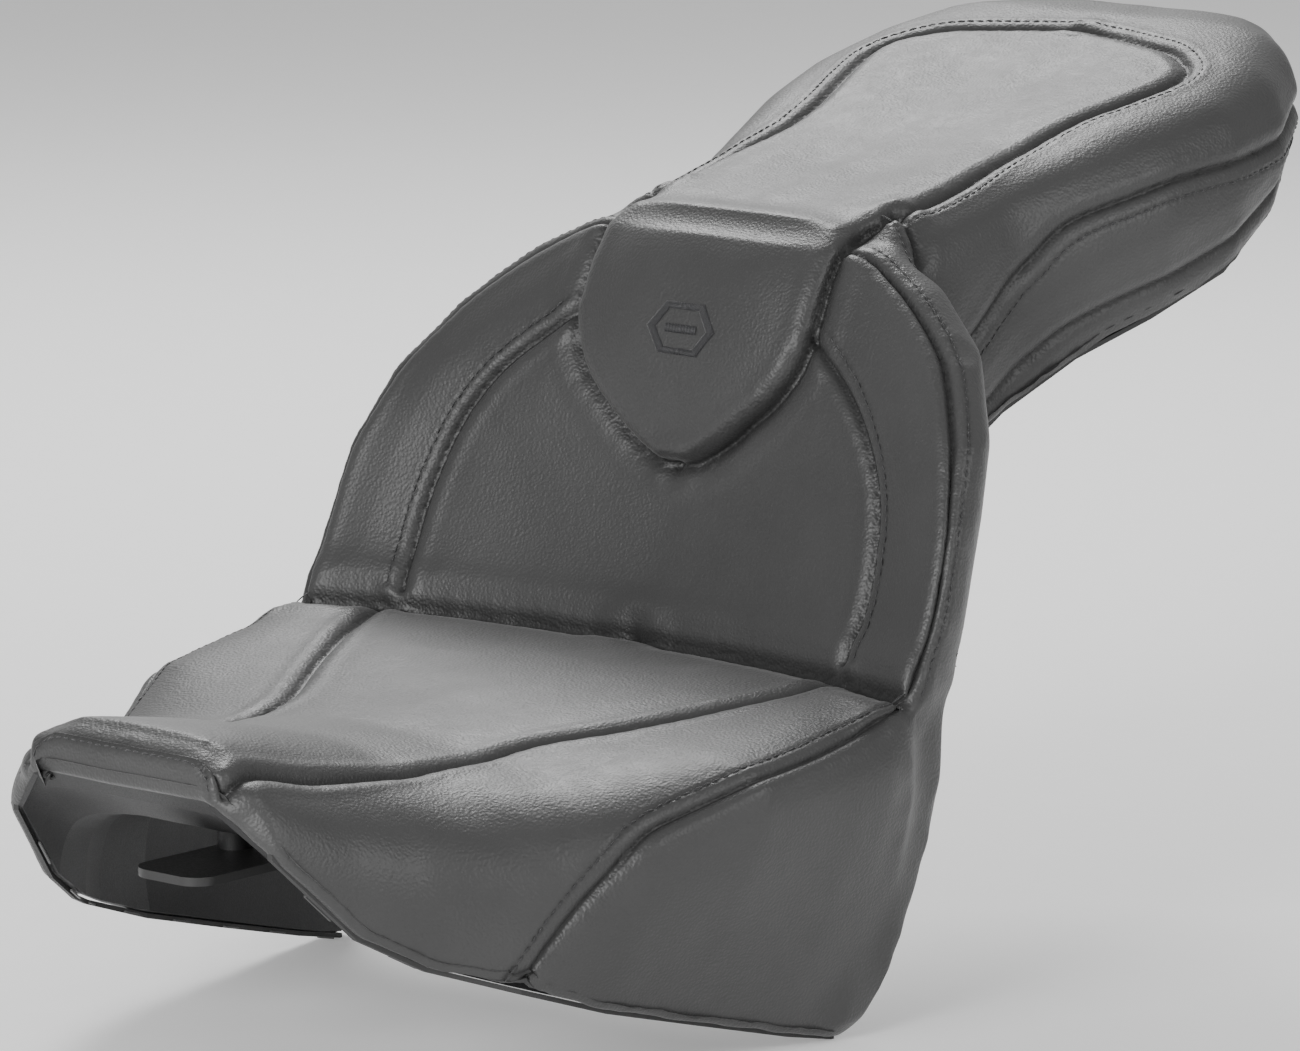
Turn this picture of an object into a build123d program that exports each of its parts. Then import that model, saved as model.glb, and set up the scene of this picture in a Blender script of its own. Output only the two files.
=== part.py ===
from build123d import *
import os

# Two-up motorcycle seat with a built-in rider backrest.
#
# Everything is drawn from the fold where the backrest meets the seat: X = 0 is the
# middle, Y = 0 and Z = 0 are the fold's two outer ends, -Y is the front of the
# motorcycle and +X its left. export() then moves each piece so that the origin is the
# middle of the front tongue's underside, where the frame holds the seat.

# ---- driving dimensions, millimetres ----
COVER = 3.0              # leather with its sewn foam backing
FOAM_INSET = 4.8         # the foam starts this far inside the cover's face
SEAM_GAP = 1.0           # each panel stops this far short of its seam
PAN = 3.0                # base pan wall
FOAM_LIFT = 1.6          # clearance between the foam and the pan
RIM_LIFT = 3.5           # the pan's rim ends this far above the cover's edge
PAD_RISE = 8.0           # how far the shield stands proud of the backrest
FOLD_Z = 1.0             # height of the fold between seat and backrest
NOSE_Y = -313.0          # front edge
TAIL_Y = 441.0           # rear edge of the passenger seat

TONGUE_W, TONGUE_L, TONGUE_T = 44.0, 72.0, 4.0
TONGUE_Y, TONGUE_Z = -250.0, -64.0        # middle of its underside
TONGUE_RIVET_X, TONGUE_RIVET_Y = 13.0, -226.0
TAB_W, TAB_T, TAB_Z = 34.0, 3.0, 196.0    # TAB_Z is its upper face
TAB_FRONT_Y, TAB_REAR_Y = 372.0, 468.0
TAB_RIVET_X, TAB_RIVET_Y = 10.0, 386.0
BOSS_R = 8.0
RIVET_R, RIVET_HEAD_R, RIVET_HEAD_H, RIVET_GRIP = 2.4, 4.6, 1.6, 6.0

SCREW_Y = 454.0
SCREW_R, SCREW_LENGTH = 3.175, 22.0       # quarter-inch thread, from under the knob
NECK_R, THREAD_LENGTH = 2.6, 10.0         # the thread is only on the free end
SCREW_HOLE_R = 3.7
SCREW_PLAY = 0.05                         # radial on the neck, and under the knob
SCREW_LIFT = 7.0                          # how far it rises before the washer stops it
WASHER_R, WASHER_T = 7.5, 1.5
KNOB_R, KNOB_H, FLANGE_H = 9.5, 9.0, 1.5
KNOB_GRIPS, GRIP_R = 12, 1.3

BUMPER_R, BUMPER_TOP, BUMPER_BOTTOM = 11.0, -63.5, -76.0
BUMPER_PLACES = [(60, -165), (-60, -165), (70, -40), (-70, -40)]
BUMPER_BOSS_R = 7.0
FELT_W, FELT_T, FELT_X, FELT_GAP = 22.0, 3.0, 40.0, 1.2
FELT_YS = [200, 240, 280, 320, 350]
TRIM_W, TRIM_T = 3.0, 2.4
STAPLE_L, STAPLE_W, STAPLE_T, STAPLE_PITCH, STAPLE_GAP = 11.0, 1.4, 0.9, 36.0, 2.8

# Rider's part, front to rear: y, half section of the cover's face from below its edge up
# to the middle of the crown, and half section of the pan's upper face in the same order.
RIDER = [
    (-310, [(61, -40), (61, -24), (61, -12), (58, -3), (48, 3), (24, 6), (0, 6)],
     [(56, -30), (56, -20), (54, -15), (44, -13), (22, -13), (0, -13)]),
    (-299, [(83, -62), (84, -40), (76, -18), (62, -3), (44, 7), (20, 10), (0, 10)],
     [(78, -52), (77, -38), (68, -27), (50, -23), (26, -22), (0, -22)]),
    (-262, [(95, -104), (100, -72), (92, -38), (66, -13), (44, -1), (20, 4), (0, 5)],
     [(90, -95), (91, -72), (80, -50), (58, -42), (30, -40), (0, -40)]),
    (-233, [(107, -124), (115, -86), (108, -50), (72, -18), (44, -7), (20, -2), (0, -1)],
     [(101, -112), (104, -84), (93, -56), (66, -49), (34, -48), (0, -48)]),
    (-200, [(128, -136), (142, -92), (134, -54), (86, -24), (48, -14), (22, -10), (0, -9)],
     [(122, -124), (128, -92), (114, -62), (80, -55), (40, -54), (0, -54)]),
    (-153, [(140, -152), (162, -88), (168, -44), (114, -23), (62, -17), (28, -14), (0, -13)],
     [(132, -140), (145, -96), (134, -66), (92, -59), (46, -58), (0, -58)]),
    (-100, [(149, -166), (175, -86), (190, -21), (140, -14), (76, -11), (34, -10), (0, -9)],
     [(138, -154), (153, -98), (146, -66), (104, -60), (52, -59), (0, -59)]),
    (-40, [(158, -184), (180, -95), (190, -10), (150, -4), (90, -3), (40, -3), (0, -3)],
     [(146, -172), (160, -100), (152, -64), (108, -58), (54, -58), (0, -58)]),
    (-8, [(163, -190), (181, -95), (190, -4), (150, 0), (90, 0), (40, 0), (0, 0)],
     [(155, -178), (163, -100), (154, -62), (110, -56), (55, -56), (0, -56)]),
]
# The skirt behind the fold, as for the rider's part.
SKIRT_REAR = [
    (8, [(165, -190), (181, -95), (190, -12), (186, 20)], None),
    (20, [(166, -190), (181, -95), (189, -12), (186, 20)], None),
    (32, [(168, -190), (182, -95), (188, -12), (186, 20)], None),
]
# The pan behind the fold, front to rear: (y, upright wall, upper face from the rim).
PAN_REAR = [
    (8, 3, [(158, -134), (165, -90), (155, -60), (110, -54), (55, -54), (0, -54)]),
    (20, 3, [(162, -97), (165, -75), (155, -56), (110, -51), (55, -51), (0, -51)]),
    (34, 14, [(168, -28), (160, -36), (148, -44), (108, -48), (54, -48), (0, -48)]),
    (48, 14, [(168, 30), (152, -4), (134, -28), (100, -40), (50, -42), (0, -42)]),
    (60, 14, [(162, 58), (146, 32), (128, 0), (96, -24), (48, -28), (0, -28)]),
    (84, 12, [(143, 69), (126, 71), (104, 74), (70, 77), (36, 78), (0, 78)]),
    (104, 4, [(116, 71), (106, 74), (90, 77), (62, 80), (30, 81), (0, 81)]),
]
# Passenger seat, front to rear, as for the rider's part.
PILLION = [
    (122, [(95, 10), (99, 80), (100, 140), (92, 180), (68, 195), (30, 196), (0, 196)],
     [(90, 40), (89, 66), (80, 78), (60, 83), (30, 84), (0, 84)]),
    (150, [(94, 30), (99, 90), (101, 145), (94, 186), (70, 200), (30, 201), (0, 201)],
     [(88, 50), (88, 74), (78, 86), (60, 90), (30, 91), (0, 91)]),
    (190, [(94, 50), (101, 115), (104, 168), (96, 196), (76, 208), (34, 208), (0, 208)],
     [(88, 70), (90, 98), (80, 112), (60, 117), (30, 118), (0, 118)]),
    (230, [(104, 70), (115, 135), (119, 190), (108, 209), (80, 218), (36, 217), (0, 216)],
     [(98, 90), (101, 120), (90, 136), (66, 141), (32, 142), (0, 142)]),
    (270, [(116, 90), (129, 150), (133, 202), (122, 220), (90, 231), (40, 229), (0, 228)],
     [(109, 105), (113, 138), (101, 155), (74, 160), (36, 161), (0, 161)]),
    (315, [(122, 108), (137, 165), (141, 208), (132, 230), (98, 243), (44, 242), (0, 241)],
     [(114, 125), (120, 156), (106, 172), (76, 176), (38, 177), (0, 177)]),
    (355, [(114, 130), (131, 180), (137, 218), (126, 242), (90, 255), (42, 256), (0, 255)],
     [(108, 150), (116, 178), (102, 194), (72, 199), (36, 200), (0, 200)]),
    (390, [(100, 160), (113, 200), (120, 230), (110, 252), (78, 263), (36, 264), (0, 264)],
     [(96, 180), (103, 206), (90, 219), (62, 223), (30, 224), (0, 224)]),
    (418, [(74, 180), (85, 213), (90, 237), (81, 255), (56, 264), (28, 265), (0, 265)],
     [(70, 200), (75, 221), (64, 231), (44, 234), (22, 235), (0, 235)]),
    (434, [(44, 190), (51, 218), (55, 238), (49, 252), (34, 259), (17, 260), (0, 260)],
     [(42, 200), (44, 224), (38, 232), (26, 234), (13, 235), (0, 235)]),
]

# Level half sections of the backrest: z, front face from the middle to the outer seam,
# then the shoulder from that seam round to where the passenger seat begins.
BACKREST = [
    (2, [(0, 30), (60, 27), (110, 21), (150, 12), (190, 1)],
     [(190, 1), (193, 14), (191, 26), (187, 40)]),
    (33, [(0, 46), (60, 42), (110, 36), (150, 28), (191, 17)],
     [(191, 17), (194, 30), (190, 42), (182, 54)]),
    (75, [(0, 61), (60, 57), (110, 51), (150, 43), (187, 33)],
     [(187, 33), (190, 46), (185, 60), (165, 82)]),
    (110, [(0, 66), (50, 64), (100, 60), (140, 55), (173, 53)],
     [(173, 53), (180, 62), (176, 78), (142, 106)]),
    (145, [(0, 73), (40, 73), (80, 74), (115, 75), (147, 78)],
     [(147, 78), (156, 88), (150, 104), (130, 117)]),
    (172, [(0, 84), (30, 84), (60, 86), (86, 89), (112, 93)],
     [(112, 93), (121, 102), (119, 113), (108, 119)]),
    (188, [(0, 97), (20, 97), (40, 98), (62, 99), (80, 102)],
     [(80, 102), (87, 107), (88, 113), (84, 119)]),
]
# Leather over the top of the backrest, front to rear, as for the rider's part.
CREST = [
    (99, [(66, 191), (50, 193), (25, 194), (0, 194)]),
    (107, [(68, 192), (52, 195), (26, 196), (0, 196)]),
    (113, [(68, 192), (52, 195), (26, 196), (0, 196)]),
    (119, [(68, 191), (52, 194), (26, 195), (0, 195)]),
]
# Rear outline of the backrest foam at each level: z, from the side to the middle.
BACK_FOAM_REAR = [
    (4, [(178, 24), (160, 38), (120, 48), (60, 55), (0, 57)]),
    (33, [(180, 38), (160, 48), (120, 57), (60, 63), (0, 65)]),
    (60, [(176, 50), (156, 58), (120, 66), (60, 71), (0, 73)]),
    (80, [(172, 58), (152, 72), (120, 80), (60, 84), (0, 84)]),
    (92, [(168, 64), (146, 84), (116, 104), (60, 116), (0, 117)]),
    (110, [(162, 74), (140, 96), (112, 110), (60, 117), (0, 117)]),
    (145, [(138, 98), (122, 108), (96, 115), (50, 117), (0, 117)]),
    (172, [(108, 108), (96, 113), (74, 116), (40, 117), (0, 117)]),
    (187, [(70, 114), (58, 116), (44, 117), (22, 118), (0, 118)]),
]
BACK_FOAM_SEAM_GAP = 7.0
BACK_FOAM_LEVELS = (4, 18, 33, 47, 60, 70, 80, 92, 101, 110, 122, 134, 145, 158, 172, 180, 187)
BACK_FOAM_FOOT = (-34, [(0, 34), (50, 31), (90, 25), (125, 17), (140, 12)],
                  [(138, 22), (116, 32), (84, 40), (44, 45), (0, 47)])

# Lower edge of the whole cover, seen from the side: (y, z), front to rear.
COVER_EDGE = [
    (-340, -14), (-313, -17), (-299, -41), (-262, -81), (-233, -98), (-200, -110),
    (-153, -126), (-90, -143), (-21, -161), (-8, -163), (4, -155), (12, -130),
    (20, -101), (34, -34), (46, 20), (58, 52), (76, 64), (110, 66), (140, 68),
    (190, 96), (240, 124), (300, 145), (350, 171), (385, 208), (415, 222), (460, 226),
]
# Seams: (y, x) of the seat's inner seam, (y, z) of the skirt seam.
SEAT_SEAM = [(-313, 58), (-255, 63), (-200, 66), (-145, 73), (-93, 95), (-41, 123), (14, 141)]
SKIRT_SEAM = [(-205, -112), (-190, -92), (-172, -66), (-148, -44), (-100, -23), (-40, -12), (10, -5)]
SKIRT_FRONT_Y = -200.0
# (z, x) of the arch seam and of the shield's edge.
ARCH_SEAM = [(0, 138), (20, 138), (55, 136), (91, 125), (121, 103), (140, 78), (150, 62)]
SHIELD_EDGE = [(78, 4), (82, 18), (98, 42), (117, 60), (138, 70), (165, 73), (200, 73)]
# (y, x) of the passenger seat's inner seam, (y, z) of the seams on its side.
PILLION_SEAM = [(122, 73), (180, 75), (222, 73), (270, 82), (308, 93), (338, 88), (358, 62), (370, 12)]
PILLION_PANEL_REAR_Y = 369.0
UPPER_SEAM = [(120, 100), (172, 147), (216, 188), (280, 204), (340, 212), (390, 229), (460, 240)]
LOWER_SEAM = [(110, 74), (170, 100), (220, 136), (290, 159), (345, 184), (395, 222), (460, 232)]


# ---- helpers ----
def between(table, at):
    """Straight-line reading of a two-column table."""
    if at <= table[0][0]:
        return table[0][1]
    for (a0, b0), (a1, b1) in zip(table, table[1:]):
        if at <= a1:
            return b0 + (b1 - b0) * (at - a0) / (a1 - a0)
    return table[-1][1]


def blend_rows(rows, at):
    """A station between two given ones, by straight-line blending of its points."""
    for row0, row1 in zip(rows, rows[1:]):
        if at <= row1[0]:
            break
    share = min(max((at - row0[0]) / (row1[0] - row0[0]), 0.0), 1.0)
    half = [
        (a0 + (a1 - a0) * share, b0 + (b1 - b0) * share)
        for (a0, b0), (a1, b1) in zip(row0[1], row1[1])
    ]
    return (at, half, *row1[2:])


def denser(rows, parts=3):
    """The same stations with others blended in between."""
    dense = []
    for row0, row1 in zip(rows, rows[1:]):
        for i in range(parts):
            share = i / parts
            columns = []
            for half0, half1 in zip(row0[1:], row1[1:]):
                if isinstance(half0, (int, float)):
                    columns.append(half0 + (half1 - half0) * share)
                elif half0 is None or half1 is None:
                    columns.append(None)
                else:
                    columns.append([
                        (a0 + (a1 - a0) * share, b0 + (b1 - b0) * share)
                        for (a0, b0), (a1, b1) in zip(half0, half1)
                    ])
            dense.append((row0[0] + (row1[0] - row0[0]) * share, *columns))
    return dense + [rows[-1]]


class HalfCurve:
    """Smooth half section with cuts and insets, in its own two coordinates."""

    def __init__(self, half):
        self.curve = Spline(*[Vector(a, b, 0) for a, b in half])

    def point(self, t):
        place = self.curve @ t
        return place.X, place.Y

    def inset(self, t, depth):
        place, way = self.curve @ t, self.curve % t
        return place.X - depth * way.Y, place.Y + depth * way.X

    def cut(self, value, axis):
        """Where the curve first reaches a value of one coordinate."""
        steps = 60
        start = self.point(0.0)[axis] - value
        for i in range(1, steps + 1):
            if start * (self.point(i / steps)[axis] - value) <= 0:
                low, high = (i - 1) / steps, i / steps
                for _ in range(24):
                    middle = (low + high) / 2
                    if start * (self.point(middle)[axis] - value) > 0:
                        low = middle
                    else:
                        high = middle
                return low
        return 1.0

    def shift(self, t, distance):
        """The parameter a distance further along."""
        return min(max(t + distance / self.curve.length, 0.0), 1.0)


def strip_points(curve, t0, t1, depth0, depth1, count=10):
    """Outer and inner points of a strip between two places on a half curve."""
    ts = [t0 + (t1 - t0) * i / (count - 1) for i in range(count)]
    return [curve.inset(t, depth0) for t in ts], [curve.inset(t, depth1) for t in ts]


def whole_curve(half):
    """A half outline that ends in the middle, with its mirror image."""
    middle = [(0.0, half[-1][1])] if abs(half[-1][0]) < 1.0 else []
    body = half[:-1] if middle else half
    return body + middle + [(-a, b) for a, b in reversed(body)]


def ring(outer, inner):
    """Closed outline of two splines joined by two straight ends, as its four edges."""
    a, b = Spline(*outer), Spline(*inner)
    return [a, Line(a @ 1, b @ 1), b, Line(b @ 0, a @ 0)]


def skin_through(rings):
    """Solid through outlines of four edges, straight from each one to the next."""
    faces = [Face(Wire(rings[0])), Face(Wire(rings[-1]))]
    for ring0, ring1 in zip(rings, rings[1:]):
        faces += [Face.make_surface_from_curves(a, b) for a, b in zip(ring0, ring1)]
    return Solid(Shell(faces))


def stood(points, y):
    return [Vector(a, y, b) for a, b in points]


def level(points, z):
    return [Vector(a, b, z) for a, b in points]


def mirror_solid(solid):
    return solid.mirror(Plane.YZ)


def fuse(solids):
    whole = solids[0]
    for solid in solids[1:]:
        whole = whole + solid
    return whole


def upright_cylinder(x, y, z0, z1, radius):
    """Cylinder along Z between two heights."""
    return Pos(x, y, (z0 + z1) / 2) * Cylinder(radius, z1 - z0)


def block(x0, x1, y0, y1, z0, z1):
    """Box between two corners."""
    centre = ((x0 + x1) / 2, (y0 + y1) / 2, (z0 + z1) / 2)
    return Pos(*centre) * Box(x1 - x0, y1 - y0, z1 - z0)


def export(name, shapes):
    """Write one piece, moved so that the tongue's underside is the origin."""
    shapes = shapes if isinstance(shapes, list) else [shapes]
    moved = [Pos(0, -TONGUE_Y, -TONGUE_Z) * s for shape in shapes for s in shape.solids()]
    whole = moved[0] if len(moved) == 1 else Compound(children=moved)
    whole.label = name
    export_step(whole, f"parts/{name}.step")


# ---- panels that run along the seat ----
def long_strip(rows, start, end, depth0=0.0, depth1=COVER, across=False):
    """Strip through stations; start and end give the place on each half curve."""
    wires = []
    for row in denser(rows):
        y, curve = row[0], HalfCurve(row[1])
        t0 = start(curve, y)
        t1 = 1.0 if across else end(curve, y)
        t0 = curve.shift(t0, SEAM_GAP)
        t1 = t1 if across else curve.shift(t1, -SEAM_GAP)
        if curve.shift(t0, 2.0) > t1:
            t1 = curve.shift(t0, 2.0)
        outer, inner = strip_points(curve, t0, t1, depth0, depth1)
        if across:
            outer, inner = whole_curve(outer), whole_curve(inner)
        wires.append(ring(stood(outer, y), stood(inner, y)))
    return skin_through(wires)


def at_edge(curve, y):
    return curve.cut(between(COVER_EDGE, y), 1)


def at_seat_seam(curve, y):
    return curve.cut(between(SEAT_SEAM, y), 0) if y > -306 else curve.cut(2.0, 1)


def at_skirt_seam(curve, y):
    return curve.cut(between(SKIRT_SEAM, y), 1)


def at_thigh_start(curve, y):
    return at_edge(curve, y) if y < SKIRT_FRONT_Y else at_skirt_seam(curve, y)


def at_pillion_seam(curve, y):
    return max(curve.cut(between(PILLION_SEAM, y), 0), 0.3)


def at_upper_seam(curve, y):
    return curve.cut(between(UPPER_SEAM, y), 1)


def at_lower_seam(curve, y):
    return curve.cut(between(LOWER_SEAM, y), 1)


def make_seat_panels():
    """Seat panel, nose band and both thigh panels."""
    rows = RIDER + [(10, RIDER[-1][1])]
    seat = long_strip(rows[1:], at_seat_seam, None, across=True)
    export("rider_seat_panel", seat)
    thigh = long_strip(RIDER, at_thigh_start, at_seat_seam)
    export("thigh_panel_left", thigh)
    export("thigh_panel_right", mirror_solid(thigh))

    curve = HalfCurve(RIDER[0][1])
    t0 = curve.cut(-17.0, 1)
    outline = whole_curve(strip_points(curve, t0, 1.0, 0.0, 1.0)[0])
    edge = Spline(*stood(outline, NOSE_Y))
    front = extrude(Face(Wire([edge, Line(edge @ 1, edge @ 0)])), 2.4, dir=(0, 1, 0))
    export("nose_band", front)


def make_side_panels():
    """Skirt and shoulder as one panel on each side."""
    rows = [row for row in RIDER if row[0] > SKIRT_FRONT_Y] + SKIRT_REAR
    rows = [(SKIRT_FRONT_Y + 1, blend_rows(RIDER, SKIRT_FRONT_Y + 1)[1])] + rows

    def upper_end(curve, y):
        return curve.cut(0.0, 1) if y > 0 else at_skirt_seam(curve, y)

    skirt = long_strip(rows, at_edge, upper_end)
    wires = []
    rows = [(z, shoulder) for z, _, shoulder in BACKREST]
    for z, shoulder in denser(rows):
        curve = HalfCurve(shoulder)
        outer, inner = strip_points(curve, curve.shift(0.0, 2 * SEAM_GAP), 1.0, 0.0, COVER)
        wires.append(ring(level(outer, z - 4), level(inner, z - 4)))
    shoulder = skin_through(wires)
    side = fuse([skirt, shoulder])
    export("side_panel_left", side)
    export("side_panel_right", mirror_solid(side))


# ---- backrest ----
def level_strip(x0, x1, z_low, z_high, depth0=0.0, depth1=COVER, across=False, steps=14):
    """Strip of the backrest's front face between two half widths, bottom to top."""
    wires = []
    rows = [(z, front) for z, front, _ in BACKREST]
    for i in range(steps):
        z = z_low + (z_high - z_low) * i / (steps - 1)
        curve = HalfCurve(blend_rows(rows, z)[1])
        t1 = curve.shift(curve.cut(x1(z), 0), -SEAM_GAP)
        t0 = 0.0 if across else curve.shift(curve.cut(x0(z), 0), SEAM_GAP)
        outer, inner = strip_points(curve, t0, t1, depth0, depth1)
        if across:
            outer, inner = whole_curve(outer[::-1]), whole_curve(inner[::-1])
        wires.append(ring(level(outer, z), level(inner, z)))
    return skin_through(wires)


def make_backrest():
    """Centre panel, both bolsters, and the shield with its foam."""
    def arch(z):
        return between(ARCH_SEAM, z)

    def outer_seam(z):
        return between([(row[0], row[1][-1][0] - 1.0) for row in BACKREST], z)

    def bolster_start(z):
        return max(arch(z), 72.0)

    export("backrest_panel", level_strip(None, arch, FOLD_Z + 2, 148, across=True))
    bolster = level_strip(bolster_start, outer_seam, FOLD_Z + 2, 182)
    export("backrest_bolster_left", bolster)
    export("backrest_bolster_right", mirror_solid(bolster))

    rows = [(z, front) for z, front, _ in BACKREST]
    foam_rings, leather_rings = [], []
    for z in (80, 87, 95, 105, 115, 127, 140, 152, 165, 176, 186):
        half_w = between(SHIELD_EDGE, z)
        curve = HalfCurve(blend_rows(rows, z)[1])
        rise = PAD_RISE * (0.7 + 0.3 * min(1.0, half_w / 60))
        base, foam_top, leather_base, leather_top = [], [], [], []
        for share in (0.0, 0.35, 0.65, 0.88, 1.0):
            t = curve.cut(half_w * share, 0) if share else 0.0
            dome = 1.0 - 0.4 * share ** 4
            base.append(curve.inset(t, -0.9))
            foam_top.append(curve.inset(t, -(rise - COVER - 0.4) * dome))
            leather_base.append(curve.inset(t, -(rise - COVER) * dome))
            leather_top.append(curve.inset(t, -rise * dome))
        foam_pair = [level(whole_curve(side[::-1]), z) for side in (foam_top, base)]
        leather_pair = [level(whole_curve(side[::-1]), z) for side in (leather_top, leather_base)]
        foam_rings.append(ring(*foam_pair))
        leather_rings.append(ring(*leather_pair))
    export("shield_foam", skin_through(foam_rings))
    export("shield_panel", skin_through(leather_rings))

    make_backrest_foam(rows)


def make_backrest_foam(rows):
    """Foam wall behind the backrest's panels, with a foot over the pan."""
    foot_z, foot_front, foot_rear = BACK_FOAM_FOOT
    wires = [ring(level(whole_curve(foot_front[::-1]), foot_z),
                       level(whole_curve(foot_rear), foot_z))]
    for z in BACK_FOAM_LEVELS:
        curve = HalfCurve(blend_rows(rows, z)[1])
        t1 = curve.shift(1.0, -BACK_FOAM_SEAM_GAP)
        front = strip_points(curve, 0.0, t1, FOAM_INSET, FOAM_INSET)[0]
        rear = blend_rows(BACK_FOAM_REAR, z)[1]
        wires.append(ring(level(whole_curve(front[::-1]), z), level(whole_curve(rear), z)))
    export("backrest_foam", skin_through(wires))


def make_crest_cap():
    """Leather over the top of the backrest, from the shield's crest to the valley."""
    export("crest_panel", long_strip(CREST, lambda curve, y: 0.0, None, across=True))


# ---- passenger seat ----
def tail_plate(half_width, z_low, z_high):
    """Short piece that joins the two arms of a band behind the tail."""
    return block(-half_width, half_width, TAIL_Y - 6.4, TAIL_Y - 3.5, z_low, z_high)


def make_pillion():
    rows = PILLION
    front = [row for row in rows if row[0] <= 355] + [blend_rows(rows, PILLION_PANEL_REAR_Y)]
    top = front[:-1] + [blend_rows(rows, PILLION_PANEL_REAR_Y - 2)]
    export("pillion_top_panel", long_strip(top, at_pillion_seam, None, across=True))

    arm = long_strip(front, at_upper_seam, at_pillion_seam)
    rear_rows = [blend_rows(rows, y) for y in (PILLION_PANEL_REAR_Y - 1, 390, 418, 434)]
    cap = long_strip(rear_rows, at_upper_seam, None, across=True)
    export("pillion_ring_panel", fuse([arm, mirror_solid(arm), cap]))

    for name, low, high, z_low, z_high in (
        ("pillion_side_band", at_lower_seam, at_upper_seam, 229.5, 232.5),
        ("pillion_lower_band", at_edge, at_lower_seam, 225.6, 227.2),
    ):
        band = long_strip(rows, low, high)
        export(name, fuse([band, mirror_solid(band), tail_plate(51, z_low, z_high)]))


# ---- foam and gel ----
def foam_block(rows, edge_lift):
    """Foam between the cover and the pan."""
    wires = []
    for y, half, under in denser(rows):
        cover, pan = HalfCurve(half), HalfCurve(under)
        z = between(COVER_EDGE, y) + edge_lift
        outer = strip_points(cover, cover.cut(z, 1), 1.0, FOAM_INSET, FOAM_INSET, 16)[0]
        inner = strip_points(pan, pan.cut(z, 1), 1.0, -FOAM_LIFT, -FOAM_LIFT, 16)[0]
        wires.append(ring(stood(whole_curve(outer), y), stood(whole_curve(inner), y)))
    return skin_through(wires)


def make_foam():
    """Rider and passenger foam, each with a gel pad let into its top."""
    for name, rows, oval, floor_z in (
        ("rider", RIDER[:-1] + [blend_rows(RIDER, -14)], (0, -70, 70, 50), -24.0),
        ("pillion", PILLION, (0, 285, 56, 48), 208.0),
    ):
        foam = foam_block(rows, RIM_LIFT + PAN)
        x, y, x_radius, y_radius = oval
        pocket = Pos(x, y, floor_z) * extrude(Ellipse(x_radius, y_radius), 60)
        export(name + "_foam", foam - pocket)
        export(name + "_gel_pad", foam & pocket)


# ---- base pan and what is fixed to it ----
def pan_rows():
    """Every station of the pan: y, upright wall, upper face from the rim."""
    rows = [(y, PAN, under) for y, _, under in RIDER] + PAN_REAR
    return rows + [(y, PAN, under) for y, _, under in PILLION]


def pan_ring(y, wall, half):
    """Section of the pan, from its rim over the middle."""
    curve = HalfCurve(half)
    t0 = curve.cut(between(COVER_EDGE, y) + RIM_LIFT, 1) if y < 0 or y > 110 else 0.0
    outer, inner = strip_points(curve, t0, 1.0, 0.0, PAN, 16)
    if wall > PAN:
        inner = [(a, b - wall) for a, b in outer]
    return ring(stood(whole_curve(outer), y), stood(whole_curve(inner), y))


def bosses_for(places, bottom, radius, height):
    return [upright_cylinder(x, y, bottom, bottom + height, radius) for x, y in places]


def make_pan():
    pan = skin_through([pan_ring(*row) for row in denser(pan_rows(), 2)])
    tongue_top = TONGUE_Z + TONGUE_T
    pan = fuse([pan] + bosses_for(tongue_rivet_places(), tongue_top, BOSS_R, 10.5))
    pan = fuse([pan] + bosses_for(tab_rivet_places(), TAB_Z, BOSS_R, 20.5))
    pan = fuse([pan] + bosses_for(BUMPER_PLACES, BUMPER_TOP, BUMPER_BOSS_R, 4.5))
    for places, bottom in ((tongue_rivet_places(), tongue_top), (tab_rivet_places(), TAB_Z)):
        for hole in bosses_for(places, bottom - 1, RIVET_R, RIVET_GRIP + 1.1):
            pan = pan - hole
    export("base_pan", pan)


def tongue_rivet_places():
    return [(side * TONGUE_RIVET_X, TONGUE_RIVET_Y) for side in (-1, 1)]


def tab_rivet_places():
    return [(side * TAB_RIVET_X, TAB_RIVET_Y) for side in (-1, 1)]


def rivets(places, plate_bottom, plate_t, headed):
    """Rivets up through a plate into the pan's bosses, some flush with the plate."""
    shapes = []
    for x, y in places:
        top = plate_bottom + plate_t + RIVET_GRIP
        rivet = upright_cylinder(x, y, plate_bottom, top, RIVET_R)
        if headed:
            head_z = plate_bottom - RIVET_HEAD_H
            rivet += upright_cylinder(x, y, head_z, plate_bottom, RIVET_HEAD_R)
        shapes.append(rivet)
    return shapes


def make_brackets():
    """Front tongue and rear tab, flat plates with rounded corners, and their rivets."""
    tongue = Pos(0, TONGUE_Y, TONGUE_Z) * extrude(
        RectangleRounded(TONGUE_W, TONGUE_L, 12), TONGUE_T
    )
    for x, y in tongue_rivet_places():
        tongue -= upright_cylinder(x, y, TONGUE_Z - 1, TONGUE_Z + TONGUE_T + 1, RIVET_R)
    export("front_tongue", tongue)
    export("front_tongue_rivets", rivets(tongue_rivet_places(), TONGUE_Z, TONGUE_T, False))

    length, middle_y = TAB_REAR_Y - TAB_FRONT_Y, (TAB_REAR_Y + TAB_FRONT_Y) / 2
    tab = Pos(0, middle_y, TAB_Z - TAB_T) * extrude(RectangleRounded(TAB_W, length, 12), TAB_T)
    tab -= upright_cylinder(0, SCREW_Y, TAB_Z - TAB_T - 1, TAB_Z + 1, SCREW_HOLE_R)
    for x, y in tab_rivet_places():
        tab -= upright_cylinder(x, y, TAB_Z - TAB_T - 1, TAB_Z + 1, RIVET_R)
    export("rear_tab", tab)
    export("rear_tab_rivets", rivets(tab_rivet_places(), TAB_Z - TAB_T, TAB_T, True))


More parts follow.
